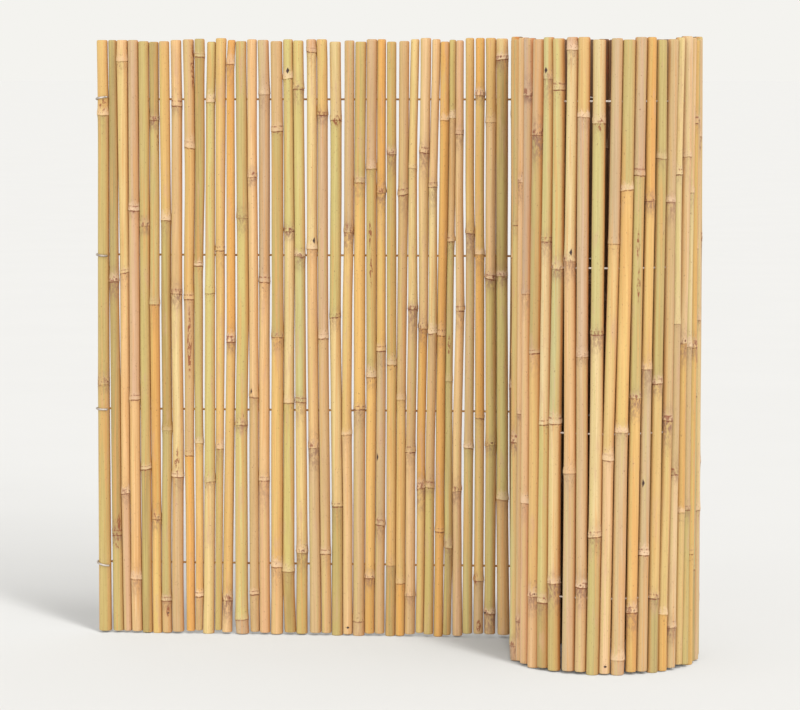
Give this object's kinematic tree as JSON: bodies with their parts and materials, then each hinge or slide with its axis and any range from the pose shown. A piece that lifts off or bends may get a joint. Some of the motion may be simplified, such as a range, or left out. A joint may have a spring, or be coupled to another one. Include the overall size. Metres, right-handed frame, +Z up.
{
  "type": "bamboo fence panel",
  "caption": "Fence panel of upright bamboo canes threaded on wires, standing partly flat and partly rolled up; unrolled, it edges or screens a garden.",
  "frame": {"origin": "middle of the footprint, on the ground under the feet of the canes", "axes": "+Z up along the canes, +X from the free end of the flat run towards the roll, the front of the flat run faces -Y"},
  "size_m": [1.0139, 0.3224, 1.006],
  "materials": {
    "bamboo_straw": "natural satin skin, unpainted",
    "bamboo_honey": "natural satin skin, unpainted",
    "bamboo_olive": "natural satin skin, unpainted",
    "bamboo_lime": "natural satin skin, unpainted",
    "bamboo_peach": "natural satin skin, unpainted",
    "bamboo_tan": "natural satin skin, unpainted",
    "bamboo_amber": "natural satin skin, unpainted",
    "wire": "galvanised, dulled and browned"
  },
  "bodies": {
    "root": {"cane_01": "bamboo_honey", "cane_02": "bamboo_olive", "cane_03": "bamboo_straw", "cane_04": "bamboo_peach", "cane_05": "bamboo_olive", "cane_06": "bamboo_honey", "cane_07": "bamboo_honey", "cane_08": "bamboo_peach", "cane_09": "bamboo_honey", "cane_10": "bamboo_straw", "cane_11": "bamboo_lime", "cane_12": "bamboo_tan", "cane_13": "bamboo_amber", "cane_14": "bamboo_lime", "cane_15": "bamboo_peach", "cane_16": "bamboo_tan", "cane_17": "bamboo_olive", "cane_18": "bamboo_lime", "cane_19": "bamboo_lime", "cane_20": "bamboo_peach", "cane_21": "bamboo_tan", "cane_22": "bamboo_straw", "cane_23": "bamboo_tan", "cane_24": "bamboo_straw", "cane_25": "bamboo_amber", "cane_26": "bamboo_tan", "cane_27": "bamboo_olive", "cane_28": "bamboo_peach", "cane_29": "bamboo_straw", "cane_30": "bamboo_peach", "cane_31": "bamboo_straw", "cane_32": "bamboo_amber", "cane_33": "bamboo_olive", "cane_34": "bamboo_peach", "cane_35": "bamboo_straw", "cane_36": "bamboo_amber", "cane_37": "bamboo_honey", "cane_38": "bamboo_olive", "rolled_canes_01": "bamboo_straw", "rolled_canes_02": "bamboo_olive", "rolled_canes_03": "bamboo_honey", "rolled_canes_04": "bamboo_peach", "rolled_canes_05": "bamboo_lime", "rolled_canes_06": "bamboo_tan", "rolled_canes_07": "bamboo_straw", "rolled_canes_08": "bamboo_peach", "rolled_canes_09": "bamboo_honey", "rolled_canes_10": "bamboo_lime", "rolled_canes_11": "bamboo_tan", "rolled_canes_12": "bamboo_straw", "rolled_canes_13": "bamboo_amber", "rolled_canes_14": "bamboo_olive", "wire_foot": "wire", "wire_head": "wire", "wire_lower": "wire", "wire_upper": "wire"}
  },
  "joints": []
}
